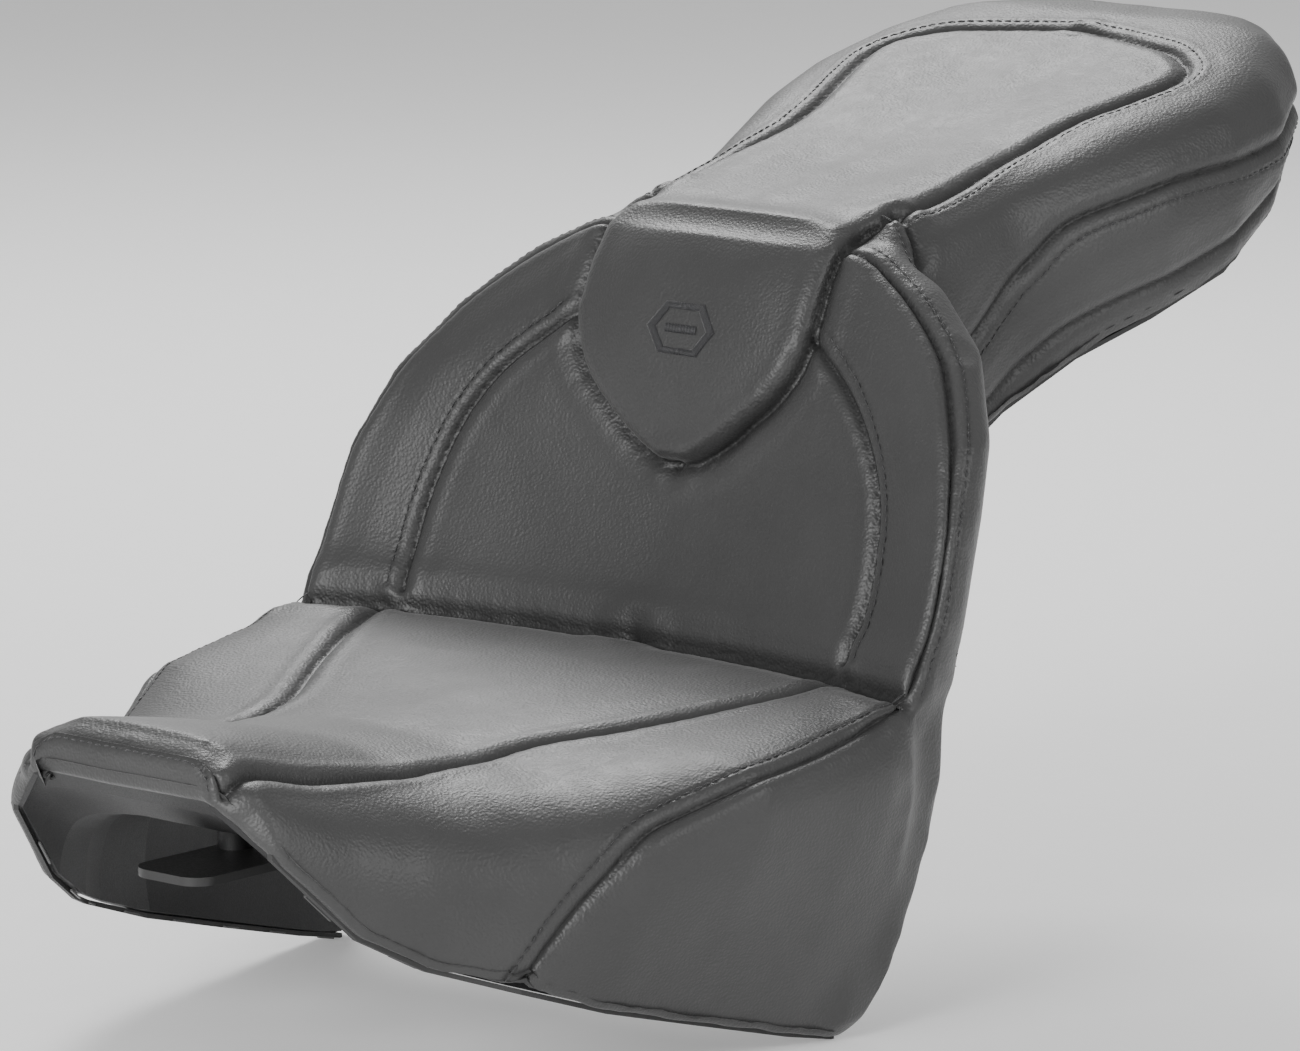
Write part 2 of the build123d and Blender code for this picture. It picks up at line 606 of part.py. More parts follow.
def make_rear_screw():
    """Thumbscrew with a fluted knob, and the washer that keeps it in the tab."""
    knob = upright_cylinder(0, SCREW_Y, TAB_Z + FLANGE_H, TAB_Z + KNOB_H, KNOB_R - 1)
    knob += upright_cylinder(0, SCREW_Y, TAB_Z + SCREW_PLAY, TAB_Z + FLANGE_H, KNOB_R)
    for grip in range(KNOB_GRIPS):
        turn = Pos(0, SCREW_Y, 0) * Rot(0, 0, grip * 360 / KNOB_GRIPS)
        knob -= turn * upright_cylinder(KNOB_R - 0.6, 0, TAB_Z + 2, TAB_Z + 20, GRIP_R)
    tip = TAB_Z - SCREW_LENGTH
    neck = upright_cylinder(0, SCREW_Y, tip + 1, TAB_Z + 1, NECK_R)
    thread = upright_cylinder(0, SCREW_Y, tip, tip + THREAD_LENGTH, SCREW_R)
    export("rear_screw", knob + neck + thread)
    top = TAB_Z - TAB_T - SCREW_LIFT
    washer = upright_cylinder(0, SCREW_Y, top - WASHER_T, top, WASHER_R)
    washer -= upright_cylinder(0, SCREW_Y, top - 9, top + 9, NECK_R + SCREW_PLAY)
    export("retaining_washer", washer)


def make_under_parts():
    """Rubber feet, felt strips, edge strips and staples."""
    export("rubber_bumpers", [
        upright_cylinder(x, y, BUMPER_BOTTOM, BUMPER_TOP, BUMPER_R) for x, y in BUMPER_PLACES
    ])

    rows = [(row[0], row[2]) for row in PILLION]
    pads = []
    for side in (-1, 1):
        wires = []
        for y in FELT_YS:
            curve = HalfCurve(blend_rows(rows, y)[1])
            t0 = curve.cut(FELT_X + FELT_W / 2, 0)
            t1 = curve.cut(FELT_X - FELT_W / 2, 0)
            outer, inner = strip_points(curve, t0, t1, PAN + FELT_GAP, PAN + FELT_GAP + FELT_T, 4)
            wires.append(ring(stood(outer, y), stood(inner, y)))
        pad = skin_through(wires)
        pads.append(pad if side > 0 else mirror_solid(pad))
    export("fender_pads", pads)

    strips, staples = [], []
    for rows, first, last in ((RIDER, -299, -8), (PILLION, 150, 418)):
        pairs = [row for row in rows if first <= row[0] <= last]
        wires = []
        for row in pairs:
            x, z = rim_place(pairs, row[0])
            corners = [(x, z), (x - TRIM_W, z), (x - TRIM_W, z + TRIM_T), (x, z + TRIM_T)]
            wires.append(Wire(Polyline(*stood(corners, row[0]), close=True)))
        rail = Solid.make_loft(wires, True)
        strips += [rail, mirror_solid(rail)]
        y = first + STAPLE_PITCH / 2
        while y < last - STAPLE_PITCH / 2:
            x, z = rim_place(pairs, y)
            x1, z1 = rim_place(pairs, y + STAPLE_L)
            inside = TRIM_W + STAPLE_GAP
            staple = staple_between((x - inside, y, z), (x1 - inside, y + STAPLE_L, z1))
            staples += [staple, mirror_solid(staple)]
            y += STAPLE_PITCH
    export("edge_trim", strips)
    export("cover_staples", staples)


def rim_place(rows, y):
    """Middle of the gap between the cover and the pan at the lower edge."""
    z = between(COVER_EDGE, y)
    row = blend_rows(rows, y)
    curve = HalfCurve(row[1])
    return curve.inset(curve.cut(z + TRIM_T, 1), COVER + 1.1)[0], z + 0.6


def staple_between(start, end):
    """Flat crown of a staple beside the edge strip, under the pan's rim."""
    wires = []
    for x, y, z in (start, end):
        low, high = z + 0.3, z + 0.3 + STAPLE_T
        half = STAPLE_W / 2
        corners = [(x - half, low), (x + half, low), (x + half, high), (x - half, high)]
        wires.append(Wire(Polyline(*stood(corners, y), close=True)))
    return Solid.make_loft(wires, True)


def make_emblem():
    """Plain badge on the shield: a six-sided ring round one bar."""
    ring = [(-21, 0), (-12, 12), (12, 12), (21, 0), (12, -12), (-12, -12)]
    slope, centre = 7.5, Vector(0, 61.5, 142)
    plane = Plane(origin=centre, x_dir=(1, 0, 0), z_dir=(0, -1, 0)).rotated((-slope, 0, 0))
    outer = plane * Polyline(*ring, close=True)
    inner = plane * Polyline(*[(a * 0.72, b * 0.72) for a, b in ring], close=True)
    badge = Solid.extrude(Face(Wire(outer), [Wire(inner)]), plane.z_dir * 1.2)
    bar = Solid.extrude(Face(Wire(plane * Polyline((-9, -2), (9, -2), (9, 2), (-9, 2), close=True))),
                        plane.z_dir * 1.2)
    export("emblem", [badge, bar])


def main():
    os.makedirs("parts", exist_ok=True)
    make_seat_panels()
    make_side_panels()
    make_backrest()
    make_crest_cap()
    make_pillion()
    make_foam()
    make_pan()
    make_brackets()
    make_rear_screw()
    make_under_parts()
    make_emblem()


if __name__ == "__main__":
    main()
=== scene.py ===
import math

import bpy
import numpy as np
from mathutils import Matrix, Vector
from mathutils.bvhtree import BVHTree


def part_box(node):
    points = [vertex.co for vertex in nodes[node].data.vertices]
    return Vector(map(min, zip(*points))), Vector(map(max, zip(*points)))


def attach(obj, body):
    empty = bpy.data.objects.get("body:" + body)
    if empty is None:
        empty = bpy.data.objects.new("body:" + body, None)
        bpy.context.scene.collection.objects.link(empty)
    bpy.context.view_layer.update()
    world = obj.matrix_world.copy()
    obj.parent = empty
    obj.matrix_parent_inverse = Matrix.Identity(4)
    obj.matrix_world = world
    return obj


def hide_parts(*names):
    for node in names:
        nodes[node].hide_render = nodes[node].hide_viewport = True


# Two-up motorcycle seat: leather cover, seams, stitching, badge and the parts underneath.
# Lengths are metres in the row frame. Seam points are millimetres from the fold at the
# foot of the backrest, as the part was drawn, and at() moves them to the row frame.

MM = 0.001
FOLD = Vector((0.0, 0.250, 0.064))     # the fold in the row frame
VOXEL = 0.0034                         # grid of the cover before it is subdivided
STITCH_PITCH = 0.0050
STITCH_LENGTH = 0.0037
THREAD_R = 0.00036
CLOSING, CLOSING_STEPS = 0.0070, 4     # fills gaps of up to twice this
REACH = 0.040                          # the skin is leather only this near a cover
HEM = ((1.6, 0.5), (2.4, 1.8), (1.6, 3.4), (-6.0, 4.2))   # outward and inward steps, mm
PILLOW, PILLOW_REACH = 0.0034, 0.0110  # how far the padding sinks towards its seams
BLANK_ROUNDS, STEP_ROUNDS = 22, 3      # smoothing of the closed skin, and in each step inward
SMOOTH_OUT, SMOOTH_BACK = 0.5, -0.52   # the second undoes the shrinking of the first
RIM_ROUNDS, RIM_SIDE_ROUNDS = 40, 12
SMALLEST_PATCH = 1500                  # patches of fewer faces are turned over
EDGE_CLEARANCE = 0.0005                # the leather ends this far above LOWER_EDGE
LAST_ROUNDS = 2
SEAM_REACH = 0.045
SWELL_PLACE, SWELL_WIDTH = 4.2, 2.2    # in groove widths from the seam
PUCKER, PUCKER_PITCH = 0.13 * MM, 0.011
PUCKER_DRIFT, PUCKER_DRIFT_RATE = 1.7, 61.0
PUCKER_OUTER, PUCKER_INNER = 0.009, 0.003
# The next width sets how far the shade painted along each seam spreads.
PAINTED_SHADE_WIDTH = 1.15                    # in groove widths
ROW_REACH = 0.008
# The last of these is how dark the shade painted along each row of topstitching is.
ROW_DEPTH, ROW_WIDTH, ROW_PAINTED_SHADE = 0.75 * MM, 0.0013, 0.45
DIMPLE, DIMPLE_WIDTH = 0.18 * MM, 0.0022
WAVE = 0.12 * MM                       # slow unevenness of the whole cover
THREAD_RINGS, THREAD_SIDES = 6, 8
THREAD_END, THREAD_TAPER = 0.05, 0.4
STITCH_ARCH = 0.00025
BADGE_R, BADGE_ARCH = 0.00042, 0.0006
BADGE_PITCH, BADGE_LIFT = 0.0006, 0.0001
BADGE_RING = ((-1, 0), (-0.57, 1), (0.57, 1), (1, 0), (0.57, -1), (-0.57, -1))
BADGE_INNER = 0.74                     # inner edge of the ring over its outer edge
BAR_HALF_WIDTH, BAR_HALF_HEIGHT, BAR_STITCHES = 0.44, 0.17, 32

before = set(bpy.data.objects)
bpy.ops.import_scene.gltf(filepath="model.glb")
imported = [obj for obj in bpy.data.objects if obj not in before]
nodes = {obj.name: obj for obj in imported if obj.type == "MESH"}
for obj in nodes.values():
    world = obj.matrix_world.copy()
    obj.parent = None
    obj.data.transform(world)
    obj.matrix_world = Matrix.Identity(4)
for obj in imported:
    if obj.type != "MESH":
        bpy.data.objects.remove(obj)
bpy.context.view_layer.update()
scene = bpy.context.scene


def at(x, y, z):
    return np.array([x * MM, y * MM + FOLD.y, z * MM + FOLD.z])


# ---- seams, one side each, x >= 0 ----
SEAMS = {
    "outer": [(190, 2, 2), (191, 8, 15), (191, 17, 33), (190, 25, 51), (187, 32, 69), (182, 41, 86),
              (176, 50, 102), (168, 60, 117), (158, 70, 131), (147, 78, 145), (132, 85, 158),
              (114, 91, 169), (96, 97, 178), (75, 101, 186)],
    "arch": [(138, 21, 6), (138, 24, 30), (136, 31, 55), (130, 40, 80), (119, 51, 102),
             (103, 61, 121), (82, 72, 136), (73, 78, 141)],
    "shield": [(0, 63, 77), (12, 64, 79), (21, 66, 84), (34, 68, 93), (45, 69, 102), (56, 70, 111),
               (65, 71, 122), (71, 73, 134), (73, 76, 146), (73, 82, 159), (73, 87, 171),
               (73, 96, 183), (73, 110, 190), (72, 124, 195), (72, 137, 199)],
    "ring": [(74, 137, 200), (76, 160, 204), (76, 179, 208), (74, 198, 212), (73, 218, 216),
             (74, 240, 221), (78, 264, 228), (88, 293, 236), (95, 318, 243), (92, 334, 249),
             (80, 344, 253), (66, 351, 257), (48, 356, 258), (20, 365, 259), (0, 367, 259)],
    "seat": [(141, 8, 0), (134, -14, -3), (123, -41, -6), (103, -79, -14), (86, -107, -19),
             (74, -134, -21), (66, -201, -22), (63, -250, -16), (60, -288, -8), (59, -307, -13)],
    "skirt": [(190, 1, -3), (190, -10, -5), (190, -31, -10), (190, -66, -16), (187, -100, -20),
              (175, -125, -31), (164, -150, -42), (160, -172, -61), (146, -184, -80),
              (132, -196, -100), (128, -200, -112)],
    "upper": [(98, 150, 126), (101, 172, 147), (110, 195, 170), (117, 216, 188), (126, 248, 197),
              (133, 280, 204), (139, 320, 209), (136, 355, 215), (124, 385, 226), (108, 405, 230),
              (86, 421, 233), (58, 433, 235), (30, 438, 236), (0, 439, 236)],
    "lower": [(97, 135, 86), (99, 170, 100), (106, 200, 123), (112, 220, 136), (124, 255, 149),
              (132, 290, 160), (137, 318, 171), (134, 345, 184), (124, 375, 206), (104, 400, 222)],
    "shoulder": [(72, 138, 199), (84, 133, 196), (100, 128, 187), (104, 127, 170), (103, 128, 150)],
    "fold": [(0, 28, 1), (60, 25, 1), (110, 19, 1), (150, 10, 1), (180, 2, 0), (191, 0, -1)],
    "nose": [(0, -311, 6), (24, -311, 6), (46, -311, 3), (57, -311, -3), (60, -311, -14)],
}
# Lower edge of the cover, seen from the side: y, z.
LOWER_EDGE = [(-340, -14), (-313, -17), (-299, -41), (-262, -81), (-233, -98), (-200, -110),
              (-153, -126), (-90, -143), (-21, -161), (-8, -163), (4, -155), (12, -130),
              (20, -101), (34, -34), (46, 20), (58, 52), (76, 64), (110, 66), (140, 68),
              (190, 96), (240, 124), (300, 145), (350, 171), (385, 208), (415, 222), (460, 226)]
# What each seam does: groove depth and width, swelling beside it, mm.
SHAPES = {
    "outer": (2.4, 1.7, 0.9), "arch": (2.4, 1.6, 0.9), "shield": (4.4, 2.4, 1.0),
    "ring": (2.2, 1.9, 1.0), "seat": (2.4, 2.0, 1.0), "skirt": (1.8, 1.7, 0.7),
    "upper": (1.8, 1.7, 0.7), "lower": (1.5, 1.6, 0.6), "shoulder": (2.6, 2.2, 0.8),
    "fold": (6.0, 3.4, 1.6), "nose": (1.4, 1.5, 0.5),
}
# Topstitched seams: how far the row of stitches lies from the seam, and to which side.
TOPSTITCH = {
    "outer": (8.5, 1), "arch": (8.0, 1), "ring": (8.0, 1), "skirt": (9.0, 1),
    "upper": (9.0, 1), "shoulder": (7.0, 1), "nose": (6.5, 1),
}


def resampled(points, pitch=0.001):
    """Evenly spaced points along a rounded line through the given ones."""
    p = np.array(points, float)
    ends = np.vstack([2 * p[0] - p[1], p, 2 * p[-1] - p[-2]])
    fine = []
    for a, b, c, d in zip(ends, ends[1:], ends[2:], ends[3:]):
        for u in np.linspace(0, 1, 16, endpoint=False):
            fine.append(0.5 * (2 * b + (c - a) * u + (2 * a - 5 * b + 4 * c - d) * u ** 2
                               + (3 * b - a - 3 * c + d) * u ** 3))
    fine = np.array(fine + [p[-1]])
    run = np.concatenate([[0], np.cumsum(np.linalg.norm(np.diff(fine, axis=0), axis=1))])
    stops = np.linspace(0, run[-1], max(int(run[-1] / pitch), 4) + 1)
    return np.column_stack([np.interp(stops, run, fine[:, k]) for k in range(3)])


def mirrored(points):
    return points * np.array([-1.0, 1.0, 1.0])


# ---- mesh helpers ----
def mesh_arrays(mesh):
    co = np.zeros(len(mesh.vertices) * 3)
    mesh.vertices.foreach_get("co", co)
    normal = np.zeros(len(mesh.vertices) * 3)
    mesh.vertex_normals.foreach_get("vector", normal)
    edges = np.zeros(len(mesh.edges) * 2, int)
    mesh.edges.foreach_get("vertices", edges)
    return co.reshape(-1, 3), normal.reshape(-1, 3), edges.reshape(-1, 2)


def set_co(mesh, co):
    mesh.vertices.foreach_set("co", co.ravel())
    mesh.update()


def averaged(values, edges, count):
    """Mean of each vertex's neighbours."""
    ends = np.concatenate([edges[:, 0], edges[:, 1]])
    other = np.concatenate([edges[:, 1], edges[:, 0]])
    number = np.maximum(np.bincount(ends, minlength=count), 1)
    columns = [np.bincount(ends, weights=values[other, k], minlength=count) / number
               for k in range(values.shape[1])]
    return np.column_stack(columns)


def relaxed(co, edges, rounds, hold=None):
    """Smoothing that does not shrink the shape."""
    for _ in range(rounds):
        for factor in (SMOOTH_OUT, SMOOTH_BACK):
            step = (averaged(co, edges, len(co)) - co) * factor
            co = co + (step if hold is None else step * hold[:, None])
    return co


def new_object(name, mesh):
    obj = bpy.data.objects.new(name, mesh)
    scene.collection.objects.link(obj)
    return obj


def baked(obj):
    """The object's mesh with its modifiers applied; the object itself goes."""
    dg = bpy.context.evaluated_depsgraph_get()
    mesh = bpy.data.meshes.new_from_object(obj.evaluated_get(dg))
    bpy.data.objects.remove(obj)
    return mesh


def joined_mesh(names, extra=((), ())):
    verts, faces, start = list(extra[0]), [tuple(f) for f in extra[1]], len(extra[0])
    for n in names:
        mesh = nodes[n].data
        verts += [tuple(v.co) for v in mesh.vertices]
        faces += [[start + i for i in p.vertices] for p in mesh.polygons]
        start += len(mesh.vertices)
    made = bpy.data.meshes.new("joined")
    made.from_pydata(verts, [], faces)
    return made


def renumbered(faces):
    """The vertices that some faces use, and the faces numbered by them."""
    used = sorted({i for face in faces for i in face})
    place = {old: new for new, old in enumerate(used)}
    return used, [[place[i] for i in face] for face in faces]


def tree_of(mesh):
    verts = [v.co for v in mesh.vertices]
    return BVHTree.FromPolygons(verts, [tuple(p.vertices) for p in mesh.polygons])


# ---- the cover's pieces and the CAD nodes they stand for ----
PIECES = {
    "seat_centre": ("rider_seat_panel", "rider_foam", "rider_gel_pad"),
    "nose_front": ("nose_band",),
    "thigh_left": ("thigh_panel_left",),
    "thigh_right": ("thigh_panel_right",),
    "side_left": ("side_panel_left",),
    "side_right": ("side_panel_right",),
    "backrest_centre": ("backrest_panel", "backrest_foam"),
    "bolster_left": ("backrest_bolster_left",),
    "bolster_right": ("backrest_bolster_right",),
    "shield": ("shield_panel", "shield_foam"),
    "crest": ("crest_panel",),
    "pillion_top": ("pillion_top_panel", "pillion_foam", "pillion_gel_pad"),
    "pillion_ring": ("pillion_ring_panel",),
    "pillion_band": ("pillion_side_band",),
    "pillion_skirt": ("pillion_lower_band",),
}
LEATHER_NODES = [group[0] for group in PIECES.values()]
FILLING = ["rider_foam", "rider_gel_pad", "backrest_foam", "shield_foam", "pillion_foam",
           "pillion_gel_pad"]


def owned_mesh(name, verts, faces, owners):
    """A mesh whose material index says which piece each face belongs to."""
    made = bpy.data.meshes.new(name)
    made.from_pydata(verts, [], faces)
    for _ in LEATHER_NODES:
        made.materials.append(None)
    made.polygons.foreach_set("material_index", owners)
    made.update()
    return made


def voxelled(mesh):
    obj = new_object("voxels", mesh)
    remesh = obj.modifiers.new("remesh", "REMESH")
    remesh.mode, remesh.voxel_size, remesh.adaptivity = "VOXEL", VOXEL, 0.0
    return baked(obj)


def tube_faces(start, stop):
    """Walls and both ends of a tube made of four-cornered sections."""
    walls = [(k + j, k + (j + 1) % 4, k + 4 + (j + 1) % 4, k + 4 + j)
             for k in range(start, stop - 4, 4) for j in range(4)]
    return walls + [(start + 3, start + 2, start + 1, start), tuple(range(stop - 4, stop))]


def fold_filler():
    """Padding that runs on under the foot of the backrest."""
    line = resampled([at(*p) for p in SEAMS["fold"]], 0.012)
    line = np.vstack([mirrored(line)[::-1][:-1], line])
    verts = []
    for x, y, z in line:
        verts += [(x, y - 0.030, z - 0.003), (x, y + 0.004, z), (x, y + 0.004, z - 0.028),
                  (x, y - 0.030, z - 0.028)]
    return verts, tube_faces(0, len(verts))


def side_filler():
    """Padding between the pan and the rear edge of each skirt: y, z, half width."""
    rows = [(4, -155, 166), (12, -130, 170), (20, -101, 177), (34, -34, 184), (46, 20, 187),
            (58, 52, 184), (68, 62, 176)]
    verts, faces = [], []
    for side in (1, -1):
        start = len(verts)
        for y, z, half in rows:
            for x, back in ((150, 22), (half, 22), (half, 5), (150, 5)):
                verts.append(tuple(at(side * x, y - back, z)))
        tube = tube_faces(start, len(verts))
        faces += tube if side > 0 else [face[::-1] for face in tube]
    return verts, faces


def closed_blank():
    """One skin round the covers, foam and pan, with the gaps between them filled."""
    fold, sides = fold_filler(), side_filler()
    start = len(fold[0])
    extra = (fold[0] + sides[0], fold[1] + [tuple(i + start for i in f) for f in sides[1]])
    mesh = voxelled(joined_mesh(LEATHER_NODES + FILLING + ["base_pan"], extra))
    co, normal, _ = mesh_arrays(mesh)
    set_co(mesh, co + normal * CLOSING)
    mesh = voxelled(mesh)
    for _ in range(CLOSING_STEPS):
        co, normal, edges = mesh_arrays(mesh)
        set_co(mesh, relaxed(co - normal * (CLOSING / CLOSING_STEPS), edges, STEP_ROUNDS))
    co, _, edges = mesh_arrays(mesh)
    set_co(mesh, relaxed(co, edges, BLANK_ROUNDS))
    return mesh


def face_pairs(mesh):
    """Pairs of faces that share an edge."""
    first, pairs = {}, []
    for poly in mesh.polygons:
        for key in poly.edge_keys:
            if key in first:
                pairs.append((first[key], poly.index))
            else:
                first[key] = poly.index
    return np.array(pairs)


def without_islands(keep, pairs, smallest):
    """Keep flags with every small patch of either kind turned over."""
    keep = keep.copy()
    neighbours = [[] for _ in keep]
    for a, b in pairs:
        if keep[a] == keep[b]:
            neighbours[a].append(b)
            neighbours[b].append(a)
    seen = np.zeros(len(keep), bool)
    for start in range(len(keep)):
        if seen[start]:
            continue
        patch, stack = [], [start]
        seen[start] = True
        while stack:
            face = stack.pop()
            patch.append(face)
            for other in neighbours[face]:
                if not seen[other]:
                    seen[other] = True
                    stack.append(other)
        if len(patch) < smallest:
            keep[patch] = not keep[start]
    return keep


def cover_blank():
    """The part of the closed skin that is leather, with each face's piece noted."""
    mesh = closed_blank()
    triangles, owner, verts = [], [], []
    for k, name in enumerate(LEATHER_NODES):
        cad = nodes[name].data
        cad.calc_loop_triangles()
        start = len(verts)
        verts += [v.co.copy() for v in cad.vertices]
        for tri in cad.loop_triangles:
            triangles.append([start + i for i in tri.vertices])
            owner.append(k)
    leather_tree, pan_tree = BVHTree.FromPolygons(verts, triangles), tree_of(nodes["base_pan"].data)
    edge = np.array([at(0, y, z) for y, z in LOWER_EDGE])
    edge_y, edge_z = edge[:, 1], edge[:, 2] + EDGE_CLEARANCE
    keep = np.zeros(len(mesh.polygons), bool)
    belongs = np.zeros(len(mesh.polygons), int)
    for poly in mesh.polygons:
        _, _, index, distance = leather_tree.find_nearest(poly.center)
        pan_distance = pan_tree.find_nearest(poly.center)[3]
        above = poly.center.z > np.interp(poly.center.y, edge_y, edge_z)
        keep[poly.index] = above and distance < pan_distance and distance < REACH
        belongs[poly.index] = owner[index]
    keep = without_islands(keep, face_pairs(mesh), SMALLEST_PATCH)
    faces = [tuple(mesh.polygons[int(i)].vertices) for i in np.where(keep)[0]]
    used, faces = renumbered(faces)
    return owned_mesh("cover", [mesh.vertices[i].co for i in used], faces, belongs[keep])


def rim_edges(mesh):
    """Directed edges of the open rim, each with its face."""
    seen = {}
    for poly in mesh.polygons:
        corners = list(poly.vertices)
        for a, b in zip(corners, corners[1:] + corners[:1]):
            key = (min(a, b), max(a, b))
            seen[key] = None if key in seen else (a, b, poly.index)
    return [v for v in seen.values() if v]


def even_rim(mesh):
    """Smooths the open rim along itself, and the faces beside it."""
    tree = tree_of(mesh)
    co, _, edges = mesh_arrays(mesh)
    rim = rim_edges(mesh)
    ends = np.array([(a, b) for a, b, _ in rim])
    on_rim = np.zeros(len(co), bool)
    on_rim[ends.ravel()] = True
    for _ in range(RIM_ROUNDS):
        mean = averaged(co, ends, len(co))
        co[on_rim] = 0.5 * co[on_rim] + 0.5 * mean[on_rim]
    for i in np.where(on_rim)[0]:
        co[i] = tree.find_nearest(Vector(co[i]))[0]
    co = relaxed(co, edges, RIM_SIDE_ROUNDS, hold=(~on_rim).astype(float))
    set_co(mesh, co)


def hemmed(mesh, painted_shade):
    """Leather turned in and under all along the open rim."""
    co, normal, _ = mesh_arrays(mesh)
    rim = rim_edges(mesh)
    out = np.zeros((len(co), 3))
    for a, b, face in rim:
        away = np.cross(co[b] - co[a], np.array(mesh.polygons[face].normal))
        away /= max(np.linalg.norm(away), 1e-9)
        out[a] += away
        out[b] += away
    ids = sorted({i for a, b, _ in rim for i in (a, b)})
    row_of = {v: k for k, v in enumerate(ids)}
    out = out[ids] / np.maximum(np.linalg.norm(out[ids], axis=1), 1e-9)[:, None]
    n, p = normal[ids], co[ids]
    verts, faces = [tuple(v) for v in co], [tuple(q.vertices) for q in mesh.polygons]
    owners = [q.material_index for q in mesh.polygons]
    previous = ids
    for outward, inward in HEM:
        start = len(verts)
        verts += [tuple(v) for v in p + out * outward * MM - n * inward * MM]
        current = list(range(start, start + len(ids)))
        for a, b, face in rim:
            ia, ib = row_of[a], row_of[b]
            faces.append((previous[ib], previous[ia], current[ia], current[ib]))
            owners.append(mesh.polygons[face].material_index)
        previous = current
    made = owned_mesh("hemmed", verts, faces, owners)
    return made, np.concatenate([painted_shade, np.zeros(len(verts) - len(co))])


def distance_to(line, co, reach):
    """Distance from each point to a line, and how far along it, within a reach."""
    low, high = line.min(0) - reach, line.max(0) + reach
    inside = np.where(((co > low) & (co < high)).all(1))[0]
    distance = np.full(len(co), 1.0)
    along = np.zeros(len(co))
    pitch = np.linalg.norm(line[1] - line[0])
    for chunk in np.array_split(inside, max(len(inside) // 4000, 1)):
        if len(chunk):
            gap = ((co[chunk, None, :] - line[None, :, :]) ** 2).sum(2)
            best = gap.argmin(1)
            distance[chunk] = np.sqrt(gap[np.arange(len(chunk)), best])
            along[chunk] = best * pitch
    return distance, along


def pressed(line, tree, rounds=3):
    """The line laid on the surface, and smoothed along it."""
    line = np.array([tree.find_nearest(Vector(p))[0] for p in line])
    for _ in range(rounds):
        for _ in range(8):
            line[1:-1] = (line[:-2] + 2 * line[1:-1] + line[2:]) / 4
        line = np.array([tree.find_nearest(Vector(p))[0] for p in line])
    return line


def beside(line, tree, offset):
    """The line shifted sideways over the surface, and laid on it."""
    away = np.gradient(line, axis=0)
    away /= np.maximum(np.linalg.norm(away, axis=1), 1e-9)[:, None]
    normals = np.array([tree.find_nearest(Vector(p))[1] for p in line])
    sideways = np.cross(away, normals)
    for _ in range(12):
        sideways[1:-1] = (sideways[:-2] + 2 * sideways[1:-1] + sideways[2:]) / 4
    sideways /= np.maximum(np.linalg.norm(sideways, axis=1), 1e-9)[:, None]
    return pressed(line + sideways * offset, tree)


def laid_seams(tree):
    """Every seam on both sides, laid on the cover: name, side, line."""
    seams = []
    for name, points in SEAMS.items():
        line = resampled([at(*p) for p in points])
        for side in (1, -1):
            seams.append((name, side, pressed(line if side > 0 else mirrored(line), tree)))
    return seams


def stitch_row(name, side, line, tree):
    """Where a topstitched seam's row of stitches runs."""
    offset, turn = TOPSTITCH[name]
    return beside(pressed(line, tree), tree, offset * MM * turn * side)


def seam_shape(name, line, co):
    """How far one seam moves each point, how much shade is painted along its groove, and how near
    it is.
    """
    depth, width, swelling = [v * MM for v in SHAPES[name]]
    distance, along = distance_to(line, co, SEAM_REACH)
    groove = depth * np.exp(-(distance / width) ** 2)
    ridge = swelling * np.exp(-((distance - SWELL_PLACE * width) / (SWELL_WIDTH * width)) ** 2)
    pucker = np.cos(along * 2 * math.pi / PUCKER_PITCH
                    + PUCKER_DRIFT * np.cos(along * PUCKER_DRIFT_RATE))
    fade = (np.exp(-(distance / PUCKER_OUTER) ** 2)
            * (1 - np.exp(-(distance / PUCKER_INNER) ** 2)))
    # Painted shade: the leather's colour is darkened along the seam's groove.
    painted_shade = np.exp(-(distance / (width * PAINTED_SHADE_WIDTH)) ** 2)
    return ridge - groove + PUCKER * pucker * fade, painted_shade, distance


def row_shape(row, co):
    """The same for a row of topstitching: a shallow groove with a dimple at each stitch, and
    painted shade along the groove.
    """
    distance, along = distance_to(row, co, ROW_REACH)
    groove = np.exp(-(distance / ROW_WIDTH) ** 2)
    dimple = np.cos(along * 2 * math.pi / STITCH_PITCH) * np.exp(-(distance / DIMPLE_WIDTH) ** 2)
    return DIMPLE * dimple - ROW_DEPTH * groove, ROW_PAINTED_SHADE * groove


def slow_waves(co):
    x, y, z = co[:, 0], co[:, 1], co[:, 2]
    return (np.sin(x * 71 + 2.1 * np.sin(y * 43)) * np.sin(y * 59 + z * 47)
            + 0.6 * np.sin(x * 133 + z * 97 + 1.3) * np.sin(y * 121))


def make_cover():
    """The whole cover, the shade painted along its seams and stitch rows, and its rows of stitches.

    No simulation is used: the padding's swell and sink are the moves in seam_shape and PILLOW.
    """
    mesh = cover_blank()
    even_rim(mesh)
    seams = laid_seams(tree_of(mesh))
    co, _, edges = mesh_arrays(mesh)
    set_co(mesh, relaxed(co, edges, LAST_ROUNDS))

    obj = new_object("cover", mesh)
    subdivide = obj.modifiers.new("finer", "SUBSURF")
    subdivide.levels = subdivide.render_levels = 1
    mesh = baked(obj)
    co, normal, _ = mesh_arrays(mesh)
    tree = tree_of(mesh)

    # Painted shade: how much each point's colour is darkened along seams and stitch rows.
    lift, painted_shade, nearest = np.zeros(len(co)), np.zeros(len(co)), np.ones(len(co))
    rows = {}
    for name, side, line in seams:
        moved, painted_shading, distance = seam_shape(name, line, co)
        lift += moved
        painted_shade = np.maximum(painted_shade, painted_shading)
        nearest = np.minimum(nearest, distance)
        if name in TOPSTITCH:
            rows[name, side] = stitch_row(name, side, line, tree)
            moved, painted_shading = row_shape(rows[name, side], co)
            lift += moved
            painted_shade = np.maximum(painted_shade, painted_shading)
    lift += WAVE * slow_waves(co) - PILLOW * np.exp(-nearest / PILLOW_REACH)
    set_co(mesh, co + normal * lift[:, None])
    mesh, painted_shade = hemmed(mesh, painted_shade)
    return mesh, painted_shade.astype(np.float32), rows


